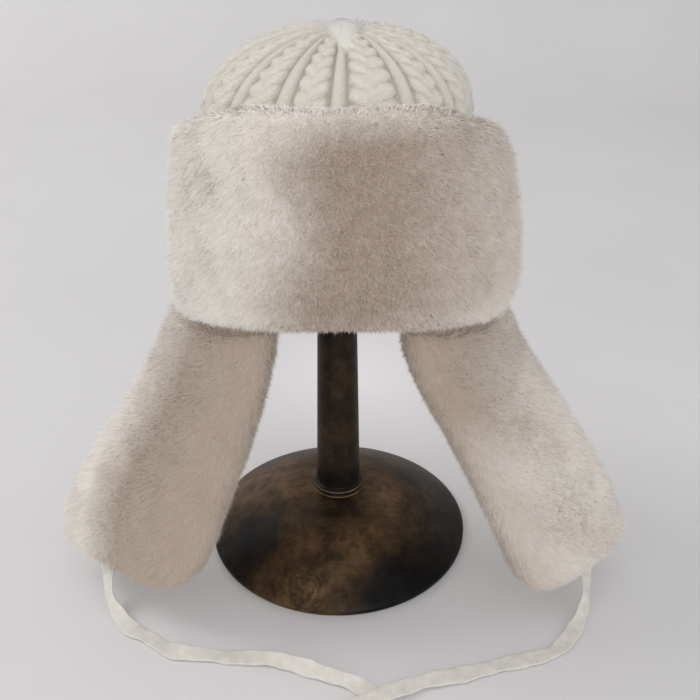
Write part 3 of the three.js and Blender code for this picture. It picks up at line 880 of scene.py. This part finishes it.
def strand_tips(pile, roots, outs, depth, loose, guard, rng):
    """Where the strands end, and a tone for each: they follow the pile's lay, with waves and some
    disorder, and their tips gather in tufts and locks."""
    way = pile.lay(roots, outs)
    for number, (amount, size) in enumerate(LAY_WAVES, 1):
        way = way + amount * wave_field(roots, size, pile.seed + number)
    way = way - outs * (way * outs).sum(axis=1)[:, None]
    way = unit(way) * np.minimum(np.linalg.norm(way, axis=1), 1.0)[:, None]
    length = STRAND_LENGTH * rng.uniform(*LENGTH_SPREAD, STRANDS)
    length = length * np.where(guard[:, 0], GUARD_LENGTH, 1.0)
    length = (length * np.clip(0.45 + 0.55 * depth / SKIN_INSET, 0.4, 1))[:, None]
    length = length * (1.0 - 0.30 * loose) * pile.reach(roots, outs)[:, None]
    jitter = rng.normal(size=(STRANDS, 3)) * (0.20 + 0.55 * loose)
    jitter = jitter - 0.7 * outs * (jitter * outs).sum(axis=1)[:, None]
    lean = unit(outs * np.where(guard, GUARD_LEAN, STRAND_LEAN) + way * (1.0 - 0.75 * loose) + jitter)
    tips, tone = gather_tufts(roots + lean * length, roots, rng, TUFT_PULL, TUFT_STRANDS)
    tips, _ = gather_tufts(tips, roots, rng, pile.tousle(roots)[:, None], LOCK_STRANDS)
    return tips, tone


def strand_blades(roots, tips, outs, loose, guard, rng):
    """Each strand's two root corners and tip, wound to face where it is seen from, and a normal for
    it that is softened towards the skin's."""
    axis = unit(tips - roots)
    side = unit(np.cross(outs, axis + 1e-4))
    spin = rng.normal(size=STRANDS)[:, None] * SPIN_SPREAD
    side = unit(side * np.cos(spin) + np.cross(axis, side) * np.sin(spin))
    front = front_of(roots, outs)
    seen = (np.cross(axis, side) * (front + SEEN_FROM)).sum(axis=1)[:, None]
    side = np.where(seen < 0, -side, side)
    half = STRAND_WIDTH / 2 * rng.uniform(*WIDTH_SPREAD, STRANDS)[:, None]
    half = half * np.where(guard, GUARD_WIDTH, 1.0)
    sunk = roots - outs * ROOT_SINK
    corners = np.stack([sunk + side * half, sunk - side * half, tips], axis=1)
    soft = unit(unit(np.cross(axis, side)) + front * np.where(guard, 0.4, 2.0 - 1.0 * loose))
    return corners.reshape(-1, 3), soft


def skin_tint(pile, places, outs):
    """The skin's tint under the strands: dim where they stand up, and as brown as they are."""
    tint = np.ones((len(places), 4), np.float32)
    tint[:, 0] = 0.92 - 0.35 * pile.upright(places, outs)
    tint[:, 1] = PLAIN_SHADE
    tint[:, 2] = pile.brown(places, outs)
    return tint


def strand_tint(pile, roots, outs, loose, tone, rng):
    """The tint of each strand's corners: place from root to tip, shade, and how brown it is; strands that
    face upwards get a painted highlight.
    """
    tint = np.ones((STRANDS, 3, 4), np.float32)
    spread = (0.1 + 0.9 * loose[:, 0]) * (rng.random(STRANDS) - 0.5) + 0.5 * loose[:, 0] * (tone - 0.5)
    # Strands that face upwards, as on the cuff's top rim, are painted lighter: a painted highlight
    shade = np.clip(PLAIN_SHADE + spread + 0.3 * (outs[:, 2] > 0.5), 0, 1)
    brown = pile.brown(roots, outs) + BROWN_SPREAD * rng.normal(size=STRANDS)
    tint[:, :, 0] = 1.0 - (0.14 + 0.42 * loose) * np.array([1.0, 1.0, 0.0])
    tint[:, :, 1] = shade[:, None]
    tint[:, :, 2] = np.clip(brown, 0, 1)[:, None]
    return tint.reshape(-1, 4)


def make_plush(pile, material):
    """A plush piece: the skin and its pile of fine strands, one pointed triangle each."""
    name = pile.node + "_plush"
    rng = np.random.default_rng(pile.seed)
    skin, inset = smooth_skin(pile.node, name + "_skin")
    roots, outs, depth = sample_skin(skin, inset, pile.weigh, rng)
    loose = pile.upright(roots, outs)[:, None]
    guard = rng.random((STRANDS, 1)) < 0.02 + 0.06 * loose
    tips, tone = strand_tips(pile, roots, outs, depth, loose, guard, rng)
    blades, soft = strand_blades(roots, tips, outs, loose, guard, rng)
    skin_places = vertex_vectors(skin, "co")
    skin_outs = vertex_vectors(skin, "normal")
    base = len(skin_places)
    faces = [tuple(face.vertices) for face in skin.polygons]
    faces += (base + np.arange(3 * STRANDS)).reshape(-1, 3).tolist()
    piece = new_object(name, np.vstack([skin_places, blades]), faces)
    bpy.data.meshes.remove(skin)
    under = skin_tint(pile, skin_places, skin_outs)
    over = strand_tint(pile, roots, outs, loose, tone, rng)
    layer = piece.data.attributes.new("pile_tint", "FLOAT_COLOR", "POINT")
    layer.data.foreach_set("color", np.vstack([under, over]).ravel())
    normals = np.vstack([skin_outs, np.repeat(soft, 3, axis=0)])
    piece.data.normals_split_custom_set_from_vertices(normals.astype(np.float32))
    pile_map(piece, skin_places)
    finish_piece(piece, pile.node, material)


def pile_map(piece, skin_places):
    """A map for baking: each strand has its own small upright cell, and the skin a strip below."""
    rows = math.ceil(STRANDS / MAP_COLUMNS)
    index = np.arange(STRANDS)
    left = (index % MAP_COLUMNS + 0.5) / MAP_COLUMNS
    low = MAP_STRIP + (1 - MAP_STRIP) * (index // MAP_COLUMNS + 0.08) / rows
    high = low + (1 - MAP_STRIP) * 0.84 / rows
    wide = 0.35 / MAP_COLUMNS
    cells = np.stack([left - wide, low, left + wide, low, left, high], axis=1)
    around = azimuth_of(skin_places) / 360 + 0.5
    height = skin_places[:, 2] / CROWN_TOP * MAP_STRIP * 0.9
    spots = np.vstack([np.stack([around, height], axis=1), cells.reshape(-1, 2)])
    store_map(piece, "OFBake", spots)


# Charts of the pile: each gives a number or a direction for every point of the skin

def bell(value, middle, width):
    return np.exp(-(((value - middle) / width) ** 2))


def azimuth_of(points):
    return np.degrees(np.arctan2(points[:, 0], -points[:, 1]))


def outwards_of(points):
    return unit(points * [1, 1, 0])


def facing_out(points, normals):
    """1 where the skin looks straight away from the head, and -1 where it looks at it."""
    return (normals * outwards_of(points)).sum(axis=1)


def away_from_head(points, normals):
    """1 for skin that looks outwards, and nearly 0 where it lies against the crown."""
    return np.where(facing_out(points, normals) < -0.1, 0.04, 1.0)


def front_of(points, outs):
    """The side that a strand is seen from: outwards, and on a rim's top away from the head."""
    rim = (outs[:, 2] > 0.2) & (facing_out(points, outs) < 0.3)
    return np.where(rim[:, None], unit(outwards_of(points) + [0, 0, 1.0]), outs)


def cuff_lay(points, normals):
    """Down and outwards, and more to the side the further round the head it is."""
    side = np.clip(azimuth_of(points) / 60, -1, 1)
    sideways = unit(np.stack([-points[:, 1], points[:, 0], 0 * points[:, 0]], axis=1))
    return np.array([0, 0, -0.75]) + sideways * (0.45 * side)[:, None] + outwards_of(points)


def cuff_brown_and_shade(points, normals):
    """Brown in a soft upright stripe a little right of the middle, which is wider near its top: partly the
    fur's own brown, partly painted shade where the cuff's front darkens.
    """
    height = points[:, 2]
    azimuth = azimuth_of(points) + 0.8 * wave_field(points, 0.05, 8)[:, 0]
    drift = 4 * bell(height, 0.360, 0.022) + 8 * np.clip((0.335 - height) / 0.05, 0, 1)
    around = np.interp(azimuth + drift * (azimuth < 4), BROWN_AZIMUTHS, CUFF_BROWNS_AND_SHADE)
    top = np.clip((0.396 - height) / 0.024, 0, 1)
    bottom = np.clip((height - 0.235) / 0.04, 0, 1)
    left_patch = 0.14 * bell(azimuth, -42, 8) * bell(height, 0.315, 0.03)
    uneven = 0.04 * wave_field(points, 0.02, 9)[:, 0]
    return np.clip(around * top * (0.35 + 0.65 * bottom) + left_patch + uneven, 0, 1)


def cuff_upright(points, normals):
    """Upright in the brown middle, and lying down at both sides."""
    return 0.12 + 0.85 * bell(azimuth_of(points), 6, 26)


def cuff_reach(points, normals):
    """Shorter where the pile faces the knit, and longer at the two sides."""
    facing = facing_out(points, normals)
    sides = np.clip((np.abs(azimuth_of(points)) - 45) / 20, 0, 1)
    return (1 - 0.75 * np.clip(0.75 - 1.5 * facing, 0, 1)) * (1 + 0.65 * sides)


def band_lay(points, normals):
    return np.array([0, 0, -0.8]) + outwards_of(points)


def band_upright(points, normals):
    return np.full(len(points), 0.3)


def band_brown(points, normals):
    return np.clip(0.35 + 0.25 * wave_field(points, 0.08, 5)[:, 0], 0, 1)


def flap_lay(points, normals):
    side = np.sign(points[:, :1])
    return side * np.array([0.42, 0, 0]) + np.array([0, -0.1, -0.85])


def from_line(points, line):
    """How far right of a line across the left flap, from its places at PARTING_HEIGHTS."""
    return points[:, 0] - np.interp(points[:, 2], PARTING_HEIGHTS, line)


def left_lay(points, normals):
    """Down, and outwards on the outer side of the parting."""
    outer = np.clip(-from_line(points, PARTING) / 0.012, 0, 1)[:, None]
    return flap_lay(points, normals) + outer * np.array([-0.4, 0, 0.1])


def left_brown_and_shade(points, normals):
    """Brown on the inner side of its border, partly painted shade of the side turned from the key light,
    and pale on the outer side.
    """
    inner = np.clip((from_line(points, BROWN_AND_SHADE_BORDER) + 0.016) / 0.028, 0, 1)
    return np.clip(0.16 + 0.84 * inner + 0.06 * wave_field(points, 0.07, 6)[:, 0], 0, 1)


def left_upright(points, normals):
    return 0.15 + 0.35 * bell(from_line(points, PARTING), 0, 0.018)


def left_reach(points, normals):
    """Longer on the outer side."""
    outer = np.clip(-from_line(points, BROWN_AND_SHADE_BORDER) / 0.012, 0, 1)
    return 1 + 0.7 * outer


def left_tousle(points):
    return 0.12 * bell(from_line(points, PARTING), 0, 0.016)


def right_outer_edge(points):
    """The right flap's outer edge, seen from the front, at each point's height."""
    return 0.225 - 0.61 * (points[:, 2] - 0.05)


def right_brown_and_shade(points, normals):
    """Brown, deepened by painted shade under the cuff and along the inner edge, and pale at the tip and the
    outer edge.
    """
    across, height = points[:, 0], points[:, 2]
    # Painted shade: high darkens the pile under the cuff, and inner along the inner edge
    high = np.clip((height - 0.13) / 0.09, 0, 1)
    inner_edge = 0.139 - 0.485 * (height - 0.03)
    inner = np.clip(1 - (across - inner_edge) / 0.045, 0, 1)
    outer = np.clip(1 - (right_outer_edge(points) - across) / 0.03, 0, 1)
    brown = 0.28 + 0.64 * high + 0.45 * inner - outer * (0.12 + 0.35 * high)
    return np.clip(brown + 0.07 * wave_field(points, 0.06, 7)[:, 0], 0, 1)


def right_upright(points, normals):
    return 0.2 + 0.35 * tip_share(points) + 0.22 * outer_half(points)


def right_reach(points, normals):
    """Longer at the tip and along the outer edge."""
    outer = np.clip(1 - (right_outer_edge(points) - points[:, 0]) / 0.03, 0, 1)
    return 1 + 0.4 * tip_share(points) + 0.5 * outer


def right_tousle(points):
    return 0.62 * tip_share(points) + 0.16 * outer_half(points)


def outer_half(points):
    """1 along the middle of the right flap's outer half, where the pile is ruffled."""
    return bell(right_outer_edge(points) - points[:, 0], 0.03, 0.02)


def tip_share(points):
    """1 in the tousled patch near the right flap's tip, fading to 0 around it."""
    x, z, radius = TOUSLED_PATCH
    return bell(np.hypot(points[:, 0] - x, points[:, 2] - z), 0, radius)


def smooth_pile(points):
    return np.zeros(len(points))


def everywhere(points, normals):
    return np.ones(len(points))


# Stand

def foot_stain_and_reflection(points):
    """How light the foot's stain is, from 0 to 1, with its patches and the painted reflection and shade of
    the post.
    """
    total = np.full(len(points), FOOT_WARMTH)
    for x, y, radius, amount in FOOT_PATCHES_AND_POST_REFLECTION:
        away = np.hypot(points[:, 0] - x, points[:, 1] - y)
        total += amount * np.exp(-((away / radius) ** 2))
    return total


def post_stain_and_highlight(points):
    """The post is dark, with a painted highlight along the crest of each of its two beads."""
    foot = points[:, 2].min()
    # Painted highlight: a thin line at each bead's crest, where the stain is set much lighter
    highlit_crests = [np.abs(points[:, 2] - foot - rise) < 0.0004 for rise in BEAD_HEIGHTS]
    wide = np.hypot(points[:, 0], points[:, 1]) > POST_FOOT_RADIUS + 0.001
    return np.where(np.any(highlit_crests, axis=0) & wide, BEAD_PAINTED_HIGHLIGHT, POST_WARMTH)


def knot_share(points):
    away = np.hypot(points[:, 0] - KNOT_PLACE[0], points[:, 1] - KNOT_PLACE[1])
    return np.exp(-((away / KNOT_RADIUS) ** 4))


def store_stain_and_painted_light(piece, chart):
    """Stores the piece's chart of stain and painted light, and the place of the knot, on its vertices."""
    places = vertex_vectors(piece.data, "co")
    store_values(piece, "stain_and_painted_light", chart(places))
    store_values(piece, "knot", knot_share(places))


def turned(name, profile, node, material):
    """A turned piece from its radii and heights, with a flat face at both ends."""
    table = np.array(profile)
    angle = 2 * np.pi * np.arange(STAND_SIDES) / STAND_SIDES
    round_x = np.cos(angle) * table[:, :1]
    round_y = np.sin(angle) * table[:, :1]
    height = np.repeat(table[:, 1:], STAND_SIDES, axis=1)
    rings = np.stack([round_x, round_y, height], axis=-1)
    piece = new_object(name, rings.reshape(-1, 3), tube_faces(len(table), STAND_SIDES))
    finish_piece(piece, node, material)
    return piece


def bead(radius, height, steps=8):
    angles = [math.radians(-80 + 160 * i / steps) for i in range(steps + 1)]
    return [(radius + BEAD_SIZE * math.cos(a), height + BEAD_SIZE * math.sin(a)) for a in angles]


def foot_profile(low):
    """The foot's radii and heights: a small rounding, the edge and the domed top."""
    edge = [(0.0022, low), (0.0008, 0.0006), (0, 0.002), (0, BASE_EDGE - 0.001)]
    profile = [(BASE_RADIUS - inwards, height) for inwards, height in edge]
    widest = BASE_RADIUS - 0.0006
    seat = POST_FOOT_RADIUS + 0.006
    for step in range(FOOT_STEPS + 1):
        share = step / FOOT_STEPS
        height = BASE_EDGE + (BASE_TOP - BASE_EDGE) * math.sin(math.pi / 2 * share)
        profile.append((widest + (seat - widest) * share, height))
    profile.append((POST_FOOT_RADIUS - 0.002, BASE_TOP))
    return profile


def post_profile(foot):
    """The post's radii and heights: two beads, and the taper above them."""
    profile = [(POST_FOOT_RADIUS - 0.0015, foot)]
    for rise, bulge in zip(BEAD_HEIGHTS, BEAD_BULGES):
        profile += bead(POST_FOOT_RADIUS + bulge, foot + rise)
    profile.append((POST_FOOT_RADIUS - 0.0006, foot + 0.0086))
    start = foot + POST_TAPER_START
    for step in range(POST_STEPS + 1):
        share = step / POST_STEPS
        radius = POST_FOOT_RADIUS + (POST_TOP_RADIUS - POST_FOOT_RADIUS) * share
        profile.append((radius, start + (POST_TOP - start) * share))
    return profile


def make_stand():
    """The foot and the post in stained wood with painted highlights and reflection, and the hidden dome as
    the model has it.
    """
    base_low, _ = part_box("stand_base")
    post_low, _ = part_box("stand_post")
    foot_wood = wood_material("walnut_foot", (60, 620, 620))
    foot = turned("stand_foot", foot_profile(base_low.z), "stand_base", foot_wood)
    store_stain_and_painted_light(foot, foot_stain_and_reflection)
    post_wood = wood_material("walnut_pillar", (800, 800, 40))
    pillar = turned("stand_pillar", post_profile(post_low.z), "stand_post", post_wood)
    store_stain_and_painted_light(pillar, post_stain_and_highlight)
    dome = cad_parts["stand_top"]
    dome.data.materials.clear()
    dome.data.materials.append(wood_material("walnut_dome", (90, 700, 700)))


PILES = (
    Pile("front_cuff", 21, cuff_lay, away_from_head, cuff_brown_and_shade, cuff_upright, cuff_reach, smooth_pile),
    Pile("back_band", 22, band_lay, away_from_head, band_brown, band_upright, cuff_reach, smooth_pile),
    Pile("flap_left", 23, left_lay, everywhere, left_brown_and_shade, left_upright, left_reach, left_tousle),
    Pile("flap_right", 24, flap_lay, everywhere, right_brown_and_shade, right_upright, right_reach, right_tousle),
)

make_camera()
tape = tape_material()
make_tie("tie_left_tape", TIE_LEFT, "tie_left", 3, tape)
make_tie("tie_right_tape", TIE_RIGHT, "tie_right", 4, tape)
light_studio()
make_floor()
make_stand()
make_crown(knit_material())
plush = plush_material()
for row in PILES:
    make_plush(row, plush)
